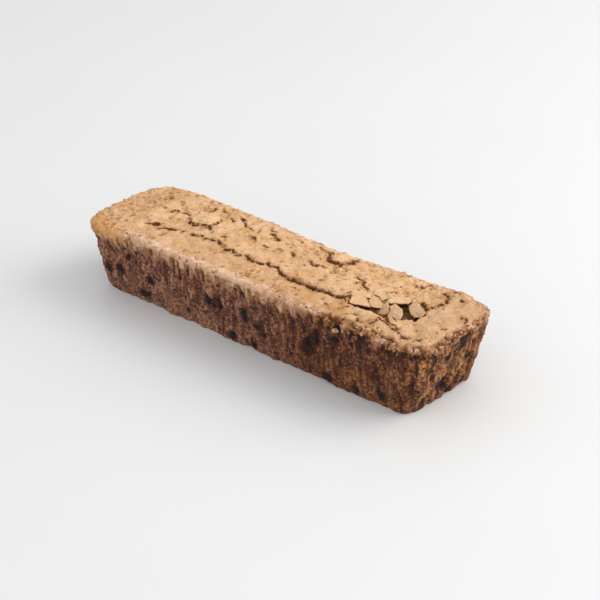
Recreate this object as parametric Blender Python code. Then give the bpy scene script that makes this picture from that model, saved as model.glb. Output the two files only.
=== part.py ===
"""A whole carrot cake baked in a loaf tin: cracked crust, a broken pit near one end, raisins in its sides.

The cake stands on Z = 0 with its long sides along X, and the origin is under its middle. Its near side,
where the raisins lie thickest, faces -Y, and the pit is near its +X end.
"""

import bmesh
import bpy
import numpy as np
from math import cos, pi, radians, sin
from mathutils import Euler, Matrix, Vector
from mathutils.bvhtree import BVHTree

MM = 0.001                        # one millimetre in metres; the sizes below are in millimetres

# The loaf: an outline at the foot, a wider one at the rim of the crust, and a flat crown inside the rim.
BASE_LENGTH, BASE_WIDTH, BASE_CORNER = 270.0, 69.0, 11.0
RIM_LENGTH, RIM_WIDTH, RIM_CORNER = 300.0, 82.7, 21.0
RIM_HEIGHT = 48.0
CROWN_HEIGHT = 50.6
SIDE_SHOULDER, LEFT_SHOULDER, RIGHT_SHOULDER = 4.5, 9.0, 15.0    # how far in from the rim the crown begins
DOME = 1.4                                   # what the middle of the crown rises above its edge
LEFT_DROOP = 2.5                             # what the rim of the -X end hangs lower
NEAR_BULGE, RIGHT_BULGE = 1.7, 1.5           # what the foot of the near side and of the +X end stands out

# The side's profile: a straight draft, with a lip under the rim that takes part of the overhang.
LIP_SHARE, LIP_START, LIP_END = 0.16, 0.70, 0.96
ROUNDED_FOOT, FOOT_HEIGHT = 1.0, 0.09        # the foot's edge curls in, over this share of the height

# The unevenness of the side: upright flutes, and lumps of crumb.
FLUTE_DEPTH, FLUTE_PITCH, FLUTE_STRETCH = 0.7, 9.0, 6.0
LUMP_DEPTH, LUMP_PITCH = 0.6, 16.0

# The mesh: cells along the long side, cells across the near shelf and the far plateau, and side rows.
LONG_CELLS, SHELF_CELLS, PLATEAU_CELLS = 78, 7, 13
SIDE_ROWS = (0.96, 0.91, 0.84, 0.74, 0.61, 0.48, 0.35, 0.22, 0.09, 0.0)

# The main crack runs along the near third of the crown and opens into the pit.
MAIN_CRACK = ((-116, -9), (-108, -16), (-96, -15), (-85, -11), (-76, -13), (-62, -9), (-48, -8), (-36, -12),
              (-22, -10), (-11, -12.5), (6, -9.5), (20, -14), (44, -14), (62, -15.5), (76, -18))
CRACK_HALF_WIDTH, CRACK_DEPTH = 1.5, 3.2
SHELF_DROP = 0.9                             # the shelf on the near side of the crack lies lower

# Shorter cracks between plates of crust: half width, depth, and the line that each follows.
SIDE_CRACKS = (
    (2.6, 2.6, ((22, 27), (25, 20), (30, 16), (38, 18), (41, 25), (41, 31))),
    (2.4, 2.6, ((116, -4), (114, 5), (118, 17), (117, 25), (111, 30))),
    (2.6, 2.2, ((-110, 20), (-103, 12), (-98, 9), (-103, 3))),
    (2.6, 2.4, ((-92, 8), (-85, 5), (-80, 1), (-72, 2), (-66, 5), (-64, 13), (-69, 18))),
    (2.4, 2.0, ((-128, 27), (-121, 20))),
    (2.4, 1.8, ((-87, 27), (-82, 22))),
    (2.6, 2.0, ((56, 11), (63, 9), (68, 3), (80, 2), (88, 6))),
)

# The pit, where the crown broke open: its edge seen from above, and heights of its floor, which rises to
# rubble in the middle.
PIT_EDGE = ((70, -12), (73, -18), (83, -21.5), (92, -21.5), (102, -23), (110, -25), (113, -17), (119, -8),
            (118, 2), (109, 7), (97, 4), (87, -5), (79, -7))
PIT_MIDDLE = (95.0, -9.0)
PIT_FLOOR, RUBBLE_TOP = 43.5, 48.8

# Rises and dips of the crown: middle, half length, half width, turn and height.
SWELLS = (
    ((98, -25.0), 34.0, 7.0, -12.0, 2.0),
    ((86, -34.0), 9.0, 7.0, 0.0, 1.6),
    ((124, 31.0), 26.0, 14.0, 0.0, 2.4),
    ((-104, 32.0), 32.0, 13.0, 0.0, 1.6),
    ((22, 40.0), 92.0, 17.0, 0.0, -3.0),
    ((32, 25.0), 11.0, 9.0, 0.0, 1.2),
    ((-76, 10.0), 12.0, 10.0, 0.0, 0.9),
)

# Flakes of crust in the pit and round it. Each is a flat slab: the middle of its top, its thickness, how far
# the top leans to the near side and to +X in degrees, and its corners in its own plane.
FLAKES = (
    ((78.8, -13.4, 51.9), 2.8, (8, 4), ((-7, 0.5), (-4, -5), (2.5, -2.5), (8.5, -0.5), (2.5, 4), (-3, 6))),
    ((73.9, -4.9, 52.2), 2.6, (6, 2), ((-6.5, -2), (-3.5, -5.5), (1.5, -3), (7, -1), (4, 3.5), (-2.5, 3))),
    ((88.2, -9.3, 52.6), 3.0, (22, 12), ((-4.5, -1), (-1.5, -3.5), (3, -3), (5.5, -1), (4, 2), (-4, 3))),
    ((83.9, 5.1, 52.6), 3.0, (6, -2), ((-7.5, 0.5), (-5, -5), (0, -5.5), (4.5, -8.5), (7, 1), (0, 7.5))),
    ((98.4, 1.5, 53.2), 3.0, (4, 0), ((-6, 1), (-5.5, -4.5), (-2.5, -5.5), (6, 0), (6, 3.5), (1.5, 5.5))),
    ((95.0, -10.1, 50.8), 3.2, (45, -15), ((-3.5, -3.5), (3.5, -3.5), (4.5, -1), (1.5, 5), (-2, 2))),
    ((105.9, -12.0, 52.3), 3.6, (42, 6), ((-6, 2), (-1, -3), (4.5, -4), (4.5, 1), (2.5, 3.5), (-3, 5))),
    ((107.7, -17.9, 50.9), 2.6, (20, -14), ((-6.5, 7), (-5.5, 3), (3, -5), (6, -5), (5.5, -2), (0, 1))),
    ((111.9, 0.8, 51.9), 3.2, (30, -12), ((-7, 2.5), (-4.5, -1.5), (2, -6), (6.5, -5), (7.5, -1), (-2, 5))),
    ((115.5, -10.5, 49.3), 2.8, (10, 0), ((-3.5, -0.5), (-0.5, -2.5), (4, 0), (0.5, 2))),
)
FLAKE_UNDERSIDE = 0.86                       # the size of a flake's underside as a share of its top

# Hollows torn in the sides: side, place along it, height, half width, half height and depth.
TORN_HOLLOWS = (
    ("near", -114, 19, 6.0, 5.0, 3.0),
    ("near", -21, 23, 3.8, 9.0, 3.2),
    ("near", 57, 21, 4.5, 8.0, 3.0),
    ("near", 84, 45, 5.0, 5.0, 3.4),
    ("near", 13, 20, 4.0, 5.0, 2.2),
    ("near", -121, 0, 4.0, 4.0, 3.0),
    ("right", -6, 12, 5.5, 9.0, 3.6),
    ("right", 4, 46, 3.5, 4.5, 2.4),
)

# Raisins that show: side, place along it, height, length, width, and how far the length leans over.
RAISINS = (
    ("near", -125, 17, 7.5, 6.0, 30),
    ("near", -92, 7, 10.0, 6.5, 80),
    ("near", -85, 20, 8.0, 5.5, 60),
    ("near", -30, 26, 12.0, 6.5, 8),
    ("near", -9, 5, 8.0, 5.5, 70),
    ("near", 3, 26, 11.0, 6.5, -6),
    ("near", 9, 6, 8.5, 6.5, 10),
    ("near", 62, 32, 12.0, 7.0, -14),
    ("near", 54, 19, 11.0, 7.0, 20),
    ("near", 78, 36, 7.5, 6.5, 40),
    ("near", 73, 5, 12.0, 6.0, 82),
    ("near", 96, 5, 7.0, 5.5, 60),
    ("near", 115, 10, 9.5, 6.5, -12),
    ("right", -12, 17, 10.0, 6.5, 24),
    ("right", 3, 4.5, 9.0, 6.0, 70),
    ("right", -11, 37, 8.0, 5.5, -30),
    ("right", 12, 28, 8.5, 5.5, -35),
)
RAISIN_THICKNESS, RAISIN_PROUD = 5.6, 0.8
RAISIN_WRINKLE = 0.10                        # wrinkle depth as a share of a raisin's half size
RAISIN_GAP = 0.35                            # clear space left round a raisin in its pocket

# Raisins on the two sides that face away, drawn at random: how many a side, and the strip they lie in.
AWAY_RAISINS = (("far", 5), ("left", 1))
AWAY_LOWEST, AWAY_HIGHEST = 6.0, 30.0
AWAY_SEED = 11

# Each side of the loaf: the direction along it, the direction out of it, and half the rim's length on it.
SIDES = {
    "near": (Vector((1, 0, 0)), Vector((0, -1, 0)), RIM_LENGTH / 2),
    "right": (Vector((0, 1, 0)), Vector((1, 0, 0)), RIM_WIDTH / 2),
    "far": (Vector((-1, 0, 0)), Vector((0, 1, 0)), RIM_LENGTH / 2),
    "left": (Vector((0, -1, 0)), Vector((-1, 0, 0)), RIM_WIDTH / 2),
}


def ease(start, end, value):
    """Rise smoothly from 0 at start to 1 at end."""
    share = np.clip((value - start) / (end - start), 0, 1)
    return share * share * (3 - 2 * share)


def lumps(x, y, z, pitch, seed):
    """Uneven lumps about one unit high: a few sine waves that cross in random directions."""
    draw = np.random.default_rng(seed)
    total = np.zeros(np.shape(x))
    for _ in range(9):
        direction = draw.normal(size=3)
        direction /= np.linalg.norm(direction)
        wave = 2 * pi / (pitch * draw.uniform(0.6, 1.5))
        run = x * direction[0] + y * direction[1] + z * direction[2]
        total += np.sin(wave * run + draw.uniform(0, 2 * pi))
    return total / 3


def side_points(half_along, half_across, corner, shares):
    """Points on one side of a rounded rectangle, from the middle of one corner to the middle of the next."""
    straight = half_along - corner
    reach = straight + corner * pi / 4
    walked = (2 * shares - 1) * reach
    turned = np.maximum(np.abs(walked) - straight, 0) / corner
    along = np.sign(walked) * (np.minimum(np.abs(walked), straight) + corner * np.sin(turned))
    return along, half_across - corner * (1 - np.cos(turned))


def outline(length, width, corner, long_shares, short_shares):
    """The near, right, far and left sides of a rounded rectangle, each running towards +X or +Y."""
    along, across = side_points(length / 2, width / 2, corner, long_shares)
    near, far = np.stack((along, -across), 1), np.stack((along, across), 1)
    along, across = side_points(width / 2, length / 2, corner, short_shares)
    right, left = np.stack((across, along), 1), np.stack((-across, along), 1)
    return near, right, far, left


def loop(near, right, far, left):
    """The four sides as one loop, anticlockwise seen from above."""
    return np.concatenate((near[:-1], right[:-1], far[:0:-1], left[:0:-1]))


def line_distance(x, y, points):
    """Distance from each place to a line through the points."""
    nearest = np.full(np.shape(x), np.inf)
    for (ax, ay), (bx, by) in zip(points[:-1], points[1:]):
        dx, dy = bx - ax, by - ay
        share = np.clip(((x - ax) * dx + (y - ay) * dy) / (dx * dx + dy * dy), 0, 1)
        nearest = np.minimum(nearest, np.hypot(x - ax - share * dx, y - ay - share * dy))
    return nearest


def oval(x, y, middle, half_length, half_width, turn):
    """Distance from an oval's middle, where its edge is 1."""
    c, s = cos(radians(turn)), sin(radians(turn))
    dx, dy = x - middle[0], y - middle[1]
    return np.hypot((dx * c + dy * s) / half_length, (dy * c - dx * s) / half_width)


def crack_y(x):
    """Where the main crack lies across the loaf."""
    return np.interp(x, [point[0] for point in MAIN_CRACK], [point[1] for point in MAIN_CRACK])


def inset(x, y):
    """How far a place on the crown lies inside the rim."""
    past_x = np.abs(x) - (RIM_LENGTH / 2 - RIM_CORNER)
    past_y = np.abs(y) - (RIM_WIDTH / 2 - RIM_CORNER)
    outside = np.hypot(np.maximum(past_x, 0), np.maximum(past_y, 0))
    return RIM_CORNER - outside - np.minimum(np.maximum(past_x, past_y), 0)


def top_height(x, y):
    """Height of the crust: rim, shoulder and domed crown, with its swells and cracks."""
    rim = RIM_HEIGHT - LEFT_DROOP * ease(-125, -150, x)
    end_shoulder = np.where(x < 0, LEFT_SHOULDER, RIGHT_SHOULDER)
    shoulder = SIDE_SHOULDER + (end_shoulder - SIDE_SHOULDER) * ease(112, 140, np.abs(x))
    fall = np.clip(1 - inset(x, y) / shoulder, 0, 1)
    dome = DOME * (1 - (2 * x / RIM_LENGTH) ** 2) * (1 - (2 * y / RIM_WIDTH) ** 2)
    height = CROWN_HEIGHT + dome - (CROWN_HEIGHT - rim) * fall ** 2
    for middle, half_length, half_width, turn, rise in SWELLS:
        height += rise * ease(1, 0, oval(x, y, middle, half_length, half_width, turn))
    inside = ease(0, 6, inset(x, y))
    height += inside * (0.5 * lumps(x, y, 0, 34, 3) + 0.4 * lumps(x, y, 0, 11, 4))
    height -= inside * SHELF_DROP * ease(1.5, -2.5, y - crack_y(x)) * ease(-112, -100, x) * ease(84, 70, x)
    main = np.maximum(1 - line_distance(x, y, MAIN_CRACK) / CRACK_HALF_WIDTH, 0)
    height -= CRACK_DEPTH * main
    for half_width, depth, points in SIDE_CRACKS:
        height -= depth * ease(half_width, 0.2 * half_width, line_distance(x, y, points))
    return height


def side_profile(share, x):
    """Share of the overhang reached at a share of the height: a draft, then the lip, fading towards +X."""
    lip = LIP_SHARE * ease(130, 90, x)
    return (1 - lip) * share + lip * ease(LIP_START, LIP_END, share)


def side_offset(x, y, z, normal):
    """What the side stands out or in: flutes, lumps and torn hollows."""
    offset = FLUTE_DEPTH * lumps(x, y, z / FLUTE_STRETCH, FLUTE_PITCH, 5)
    offset += LUMP_DEPTH * lumps(x, y, z, LUMP_PITCH, 6)
    for side, place, height, half_width, half_height, depth in TORN_HOLLOWS:
        along, out, _ = SIDES[side]
        facing = normal[:, 0] * out.x + normal[:, 1] * out.y > 0.5
        run = x * along.x + y * along.y
        torn = ease(1, 0.25, oval(run, z, (place, height), half_width, half_height, 0))
        offset -= depth * torn * facing
    return offset


def grid_shares():
    """Row places across the crown, with a row in the main crack and one at each of its lips."""
    middle = crack_y(0.0)
    near_lip, far_lip = middle - CRACK_HALF_WIDTH, middle + CRACK_HALF_WIDTH
    shelf = np.linspace(-RIM_WIDTH / 2, near_lip, SHELF_CELLS + 1)
    plateau = np.linspace(far_lip, RIM_WIDTH / 2, PLATEAU_CELLS + 1)
    rows = np.concatenate((shelf, [middle], plateau))
    tent = np.interp(rows, (-RIM_WIDTH / 2, near_lip, far_lip, RIM_WIDTH / 2), (0, 1, 1, 0))
    return rows / RIM_WIDTH + 0.5, tent, middle


def crown_grid(long_shares, short_shares):
    """Places on the crown, blended between the four sides of the rim."""
    near, right, far, left = outline(RIM_LENGTH, RIM_WIDTH, RIM_CORNER, long_shares, short_shares)
    s, t = long_shares[:, None, None], short_shares[None, :, None]
    across = (1 - t) * near[:, None] + t * far[:, None]
    along = (1 - s) * left[None] + s * right[None]
    corners = (1 - s) * ((1 - t) * near[0] + t * far[0]) + s * ((1 - t) * near[-1] + t * far[-1])
    return across + along - corners


def loaf_points():
    """Rows of points for the loaf: the grid of the crown, and a ring for each row of the side."""
    long_shares = np.linspace(0, 1, LONG_CELLS + 1)
    short_shares, tent, middle = grid_shares()
    grid = crown_grid(long_shares, short_shares)
    grid[:, :, 1] += tent * (crack_y(grid[:, :, 0]) - middle)
    heights = top_height(grid[:, :, 0], grid[:, :, 1])
    rim = loop(grid[:, 0], grid[-1], grid[:, -1], grid[0])
    rim_z = loop(heights[:, :1], heights[-1][:, None], heights[:, -1:], heights[0][:, None])[:, 0]
    base = loop(*outline(BASE_LENGTH, BASE_WIDTH, BASE_CORNER, long_shares, short_shares))
    tangent = np.roll(rim, -1, 0) - np.roll(rim, 1, 0)
    normal = np.stack((tangent[:, 1], -tangent[:, 0]), 1)
    normal /= np.linalg.norm(normal, axis=1)[:, None]
    bulge = NEAR_BULGE * np.maximum(-normal[:, 1], 0) * ease(-60, 30, base[:, 0])
    bulge += RIGHT_BULGE * np.maximum(normal[:, 0], 0) * ease(0, 60, base[:, 0])
    base = base + normal * bulge[:, None]
    rings = []
    for share in SIDE_ROWS:
        ring = base + (rim - base) * side_profile(share, rim[:, 0])[:, None]
        foot = ROUNDED_FOOT * max(1 - share / FOOT_HEIGHT, 0) ** 2
        z = rim_z * share
        offset = side_offset(ring[:, 0], ring[:, 1], z, normal) * (1 - ease(LIP_START, 1, share)) - foot
        ring = ring + normal * offset[:, None]
        rings.append(np.column_stack((ring, z)))
    return np.dstack((grid, heights)), rings


def mesh_object(name, points, faces, material):
    """A named object from points in millimetres."""
    mesh = bpy.data.meshes.new(name)
    mesh.from_pydata([tuple(point) for point in np.asarray(points, float) * MM], [], faces)
    mesh.materials.append(material)
    mesh.update()
    item = bpy.data.objects.new(name, mesh)
    bpy.context.scene.collection.objects.link(item)
    return item


def build_loaf(material):
    """The loaf as one closed skin: crown, sides and a flat foot."""
    grid, rings = loaf_points()
    columns, rows = grid.shape[0], grid.shape[1]
    points = np.concatenate([grid.reshape(-1, 3)] + rings)
    index = np.arange(columns * rows).reshape(columns, rows)
    faces = [(index[i, j], index[i + 1, j], index[i + 1, j + 1], index[i, j + 1])
             for i in range(columns - 1) for j in range(rows - 1)]
    upper = loop(index[:, :1], index[-1][:, None], index[:, -1:], index[0][:, None])[:, 0]
    count = len(upper)
    for row in range(len(rings)):
        lower = columns * rows + row * count + np.arange(count)
        for k in range(count):
            following = (k + 1) % count
            faces.append((upper[k], lower[k], lower[following], upper[following]))
        upper = lower
    faces.append(tuple(upper[::-1]))
    faces = [tuple(int(corner) for corner in face) for face in faces]
    return mesh_object("cake", points, faces, material)


def prism(name, upper, lower, upper_middle, lower_middle, material):
    """A closed solid between two rings of as many points, each covered by a fan from its middle."""
    count = len(upper)
    points = np.concatenate((upper, lower, [upper_middle], [lower_middle]))
    faces = []
    for k in range(count):
        following = (k + 1) % count
        faces.append((k, following, 2 * count))
        faces.append((k + count, following + count, following, k))
        faces.append((following + count, k + count, 2 * count + 1))
    return mesh_object(name, points, faces, material)


def build_pit(material):
    """The space of the pit, to be cut out of the loaf."""
    edge = np.array(PIT_EDGE)
    over, floor = np.full(len(edge), 2 * CROWN_HEIGHT), np.full(len(edge), PIT_FLOOR)
    return prism("pit", np.column_stack((edge, over)), np.column_stack((edge, floor)),
                 (*PIT_MIDDLE, 2 * CROWN_HEIGHT), (*PIT_MIDDLE, RUBBLE_TOP), material)


def build_flake(number, flake, material):
    """A flake of crust: a flat slab, smaller at its underside."""
    middle, thickness, (near_lean, right_lean), corners = flake
    ring, level = np.array(corners, float), np.zeros(len(corners))
    turn = np.array(Euler((radians(near_lean), radians(right_lean), 0)).to_matrix())
    upper = np.column_stack((ring, level)) @ turn.T + middle
    lower = np.column_stack((ring * FLAKE_UNDERSIDE, level - thickness)) @ turn.T + middle
    return prism(f"flake_{number}", upper, lower, middle, lower.mean(0), material)


def build_raisin(name, seat, length, width, grow, seed, material):
    """A wrinkled raisin at its seat, larger all round by grow."""
    shell = bmesh.new()
    bmesh.ops.create_icosphere(shell, subdivisions=2, radius=1)
    ball = np.array([vertex.co for vertex in shell.verts])
    faces = [tuple(vertex.index for vertex in face.verts) for face in shell.faces]
    shell.free()
    wrinkle = 1 + RAISIN_WRINKLE * lumps(ball[:, 0], ball[:, 1], ball[:, 2], 1.6, seed)
    sizes = np.array((width, RAISIN_THICKNESS, length)) / 2
    points = ball * wrinkle[:, None] * sizes + ball * grow
    turn = np.array(seat.to_3x3())
    return mesh_object(name, points @ turn.T + np.array(seat.translation), faces, material)


def raisin_seat(surface, side, place, height, lean):
    """Where a raisin sits: sunk in the side's surface, with its length leaning from upright."""
    along, out, _ = SIDES[side]
    outside = along * place + out * RIM_LENGTH + Vector((0, 0, height))
    hit = surface.ray_cast(outside * MM, -out)[0] / MM
    middle = hit - out * (RAISIN_THICKNESS / 2 - RAISIN_PROUD)
    facing = Matrix((along, -out, Vector((0, 0, 1)))).transposed().to_4x4()
    return Matrix.Translation(middle) @ facing @ Matrix.Rotation(radians(lean), 4, "Y")


def away_raisins():
    """Raisins for the sides that face away, spread evenly along each side and drawn at random within."""
    draw = np.random.default_rng(AWAY_SEED)
    found = []
    for side, count in AWAY_RAISINS:
        half = SIDES[side][2] - RIM_CORNER
        for k in range(count):
            place = -half + 2 * half * (k + draw.uniform(0.25, 0.75)) / count
            size = draw.uniform(7, 11)
            found.append((side, place, draw.uniform(AWAY_LOWEST, AWAY_HIGHEST), size, size * 0.62,
                          draw.uniform(-80, 80)))
    return found


def split_to_triangles(mesh):
    """Split the mesh's faces, so that each is flat."""
    shell = bmesh.new()
    shell.from_mesh(mesh)
    bmesh.ops.triangulate(shell, faces=shell.faces)
    shell.to_mesh(mesh)
    shell.free()


def combine(target, pieces, operation):
    """Join the pieces to the target, or cut them out of it, and remove them."""
    split_to_triangles(target.data)
    group = bpy.data.collections.new(operation)
    for piece in pieces:
        piece.hide_render = True
        piece.display_type = "WIRE"
        group.objects.link(piece)
    boolean = target.modifiers.new(operation, "BOOLEAN")
    boolean.operation = operation
    boolean.operand_type = "COLLECTION"
    boolean.collection = group
    boolean.solver = "EXACT"
    graph = bpy.context.evaluated_depsgraph_get()
    result = bpy.data.meshes.new_from_object(target.evaluated_get(graph))
    target.modifiers.clear()
    target.data = result
    for piece in pieces:
        bpy.data.objects.remove(piece)
    bpy.data.collections.remove(group)


def make_material(name, colour, roughness):
    """A Principled material with one colour and roughness."""
    material = bpy.data.materials.new(name)
    material.use_nodes = True
    shader = material.node_tree.nodes["Principled BSDF"]
    shader.inputs["Base Color"].default_value = (*colour, 1)
    shader.inputs["Roughness"].default_value = roughness
    shader.inputs["Metallic"].default_value = 0.0
    return material


def build_cake():
    """The loaf with its pit and flakes, and each raisin as a piece of its own in a pocket."""
    crumb = make_material("cake_crumb", (0.42, 0.23, 0.11), 0.85)
    skin = make_material("raisin_skin", (0.018, 0.012, 0.016), 0.45)
    loaf = build_loaf(crumb)
    surface = BVHTree.FromObject(loaf, bpy.context.evaluated_depsgraph_get())
    pockets, raisins = [], []
    for number, (side, place, height, length, width, lean) in enumerate(list(RAISINS) + away_raisins(), 1):
        seat = raisin_seat(surface, side, place, height, lean)
        pockets.append(build_raisin(f"pocket_{number}", seat, length, width, RAISIN_GAP, number, crumb))
        raisins.append(build_raisin(f"raisin_{number:02d}", seat, length, width, 0.0, number, skin))
    combine(loaf, [build_pit(crumb)] + pockets, "DIFFERENCE")
    combine(loaf, [build_flake(k, flake, crumb) for k, flake in enumerate(FLAKES)], "UNION")
    corners = np.array([vertex.co for vertex in loaf.data.vertices])
    middle = (corners.min(0) + corners.max(0)) / 2
    centring = Matrix.Translation((-middle[0], -middle[1], 0))
    for piece in [loaf] + raisins:
        piece.data.transform(centring)


for leftover in list(bpy.data.objects):
    bpy.data.objects.remove(leftover)
build_cake()
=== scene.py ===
"""The looks of a carrot cake: fine crust and crumb, the flakes in its pit, its raisins and their materials.

Sizes are in millimetres until mesh_piece turns them into metres. The long side that faces the camera is the
near side, at -Y, and the pit is near the right end, at +X.
"""

import bmesh
import bpy
import numpy as np
from math import cos, pi, radians, sin
from mathutils import Euler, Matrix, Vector


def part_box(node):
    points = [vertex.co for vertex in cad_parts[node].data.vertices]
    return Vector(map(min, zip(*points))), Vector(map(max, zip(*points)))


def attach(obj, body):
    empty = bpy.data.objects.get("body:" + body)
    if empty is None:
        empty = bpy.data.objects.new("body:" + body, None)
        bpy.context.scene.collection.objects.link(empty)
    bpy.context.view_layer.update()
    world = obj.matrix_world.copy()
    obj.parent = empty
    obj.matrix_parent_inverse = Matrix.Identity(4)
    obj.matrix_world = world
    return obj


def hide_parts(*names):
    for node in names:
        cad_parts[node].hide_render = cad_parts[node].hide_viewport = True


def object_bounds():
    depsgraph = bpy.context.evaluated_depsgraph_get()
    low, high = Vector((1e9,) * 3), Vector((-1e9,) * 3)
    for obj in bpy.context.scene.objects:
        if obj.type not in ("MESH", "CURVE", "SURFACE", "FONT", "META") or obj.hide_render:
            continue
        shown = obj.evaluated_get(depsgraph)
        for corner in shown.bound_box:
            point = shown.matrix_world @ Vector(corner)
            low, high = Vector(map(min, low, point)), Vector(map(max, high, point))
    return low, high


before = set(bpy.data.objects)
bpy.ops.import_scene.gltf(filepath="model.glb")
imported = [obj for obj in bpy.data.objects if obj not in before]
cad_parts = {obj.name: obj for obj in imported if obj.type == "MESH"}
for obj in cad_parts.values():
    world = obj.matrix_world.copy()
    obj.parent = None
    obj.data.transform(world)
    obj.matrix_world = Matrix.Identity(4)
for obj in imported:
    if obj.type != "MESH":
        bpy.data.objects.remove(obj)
CAD_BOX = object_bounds()

MM = 0.001
LOAF_MARGIN, CRUMB_MARGIN = 0.02, 0.1        # how far both stay inside the solid's box

# The loaf's form, as the solid has it.
BASE_LENGTH, BASE_WIDTH, BASE_CORNER = 270.0, 69.0, 11.0
RIM_LENGTH, RIM_WIDTH, RIM_CORNER = 300.0, 82.7, 21.0
RIM_HEIGHT = 48.0
CROWN_HEIGHT = 50.6
SIDE_SHOULDER, LEFT_SHOULDER, RIGHT_SHOULDER = 4.5, 9.0, 15.0
DOME = 1.4
LEFT_DROOP = 2.5
NEAR_BULGE, RIGHT_BULGE = 1.7, 1.5
LIP_SHARE, LIP_START, LIP_END = 0.16, 0.70, 0.96
ROUNDED_FOOT, FOOT_HEIGHT = 1.0, 0.09
FLUTE_DEPTH, FLUTE_PITCH, FLUTE_STRETCH = 0.7, 9.0, 6.0
LUMP_DEPTH, LUMP_PITCH = 0.6, 16.0

# The mesh: stretches of the long side with the cells along each, cells across the crown, and rows down
# the side.
LONG_STRETCHES = ((0.0, 0.72, 252), (0.72, 0.92, 98), (0.92, 1.0, 28))
SHELF_CELLS, CRACK_CELLS, PLATEAU_CELLS, SIDE_CELLS = 38, 8, 64, 57

# The crack along the crown, half its width in the mesh, and how far the crust on its near side has dropped.
MAIN_CRACK = ((-116, -9), (-108, -16), (-96, -15), (-85, -11), (-76, -13), (-62, -9), (-48, -8), (-36, -12),
              (-22, -10), (-11, -12.5), (6, -9.5), (20, -14), (44, -14), (62, -15.5), (76, -18))
CRACK_HALF_WIDTH, SHELF_DROP = 1.5, 0.9

# Shorter cracks between plates of crust: half width, depth, how far the lip on the line's left is lifted, and
# the line.
SIDE_CRACKS = (
    (2.0, 2.6, 0.9, ((22, 27), (25, 20), (30, 16), (38, 17), (42, 22), (42, 30))),
    (1.7, 1.8, 0.3, ((109, 11), (113, 8), (116.5, 6), (116, 1))),
    (1.5, 1.8, 0.3, ((117, 10), (120, 17))),
    (1.8, 2.2, 0.3, ((120, 21), (118, 26), (113, 28.5))),
    (0.8, 1.2, 0.4, ((-102, 2), (-100.5, 6), (-96, 7.5))),
    (1.2, 1.5, 0.9, ((-86, 4), (-82, 0.5), (-76, -1.5), (-72, -1))),
    (1.6, 1.8, 0.9, ((-70, 0), (-64, 1.5))),
    (1.1, 1.2, 0.5, ((-64, 4), (-65, 12), (-68, 17))),
    (1.5, 1.8, 0.3, ((-122, 23), (-119, 19))),
    (1.3, 1.6, 0.3, ((-83, 27), (-82, 22))),
    (1.1, 1.8, 0.5, ((56, 11), (63, 9), (68, 3), (74, 1))),
    (0.8, 1.4, 0.3, ((66, -15), (67, -9))),
    (0.8, 1.4, 0.4, ((-62, 30), (-57, 27), (-50, 22), (-40, 18))),
    (0.9, 1.4, 0.4, ((-34, 31), (-29, 24), (-20, 19))),
    (0.8, 1.2, 0.3, ((-36, 11), (-31, 9))),
    (1.0, 1.5, 0.4, ((10, 29), (15, 27), (20, 29))),
    (0.8, 1.2, 0.3, ((104, -26), (112, -27), (122, -29))),
)

# The pit: its edge and its middle, and the heights of its floor at the edge and of the rubble in the middle.
PIT_EDGE = ((70, -12), (73, -18), (83, -21.5), (92, -21.5), (102, -23), (110, -25), (113, -17), (119, -8),
            (118, 2), (109, 7), (97, 4), (87, -5), (79, -7))
PIT_MIDDLE = (95.0, -9.0)
PIT_FLOOR, RUBBLE_TOP = 43.5, 48.8

# Swells of the crown: middle, half length, half width, turn in degrees, and rise.
SWELLS = (
    ((98, -25.0), 34.0, 7.0, -12.0, 2.0),
    ((86, -34.0), 9.0, 7.0, 0.0, 1.6),
    ((124, 31.0), 26.0, 14.0, 0.0, 2.4),
    ((-104, 32.0), 32.0, 13.0, 0.0, 1.6),
    ((22, 40.0), 92.0, 17.0, 0.0, -3.0),
    ((32, 25.0), 11.0, 9.0, 0.0, 1.2),
    ((-76, 10.0), 12.0, 10.0, 0.0, 0.9),
)

# Flakes of crust: the middle of the top, thickness, leans to the near side and to +X, and corners.
FLAKES = (
    ((78.8, -13.4, 51.9), 2.8, (8, 4), ((-7, 0.5), (-4, -5), (2.5, -2.5), (8.5, -0.5), (2.5, 4), (-3, 6))),
    ((73.9, -4.9, 52.2), 2.6, (6, 2), ((-6.5, -2), (-3.5, -5.5), (1.5, -3), (7, -1), (4, 3.5), (-2.5, 3))),
    ((88.2, -9.3, 52.6), 3.0, (22, 12), ((-4.5, -1), (-1.5, -3.5), (3, -3), (5.5, -1), (4, 2), (-4, 3))),
    ((83.9, 5.1, 52.6), 3.0, (6, -2), ((-7.5, 0.5), (-5, -5), (0, -5.5), (4.5, -8.5), (7, 1), (0, 7.5))),
    ((98.4, 1.5, 53.2), 3.0, (4, 0), ((-6, 1), (-5.5, -4.5), (-2.5, -5.5), (6, 0), (6, 3.5), (1.5, 5.5))),
    ((95.0, -10.1, 50.8), 3.2, (45, -15), ((-3.5, -3.5), (3.5, -3.5), (4.5, -1), (1.5, 5), (-2, 2))),
    ((105.9, -12.0, 52.3), 3.6, (42, 6), ((-6, 2), (-1, -3), (4.5, -4), (4.5, 1), (2.5, 3.5), (-3, 5))),
    ((107.7, -17.9, 50.9), 2.6, (20, -14), ((-6.5, 7), (-5.5, 3), (3, -5), (6, -5), (5.5, -2), (0, 1))),
    ((111.9, 0.8, 51.9), 3.2, (30, -12), ((-7, 2.5), (-4.5, -1.5), (2, -6), (6.5, -5), (7.5, -1), (-2, 5))),
    ((115.5, -10.5, 49.3), 2.8, (10, 0), ((-3.5, -0.5), (-0.5, -2.5), (4, 0), (0.5, 2))),
)
FLAKE_UNDERSIDE, FLAKE_SPREAD, FLAKE_SECTORS = 0.86, 1.06, 84

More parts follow.
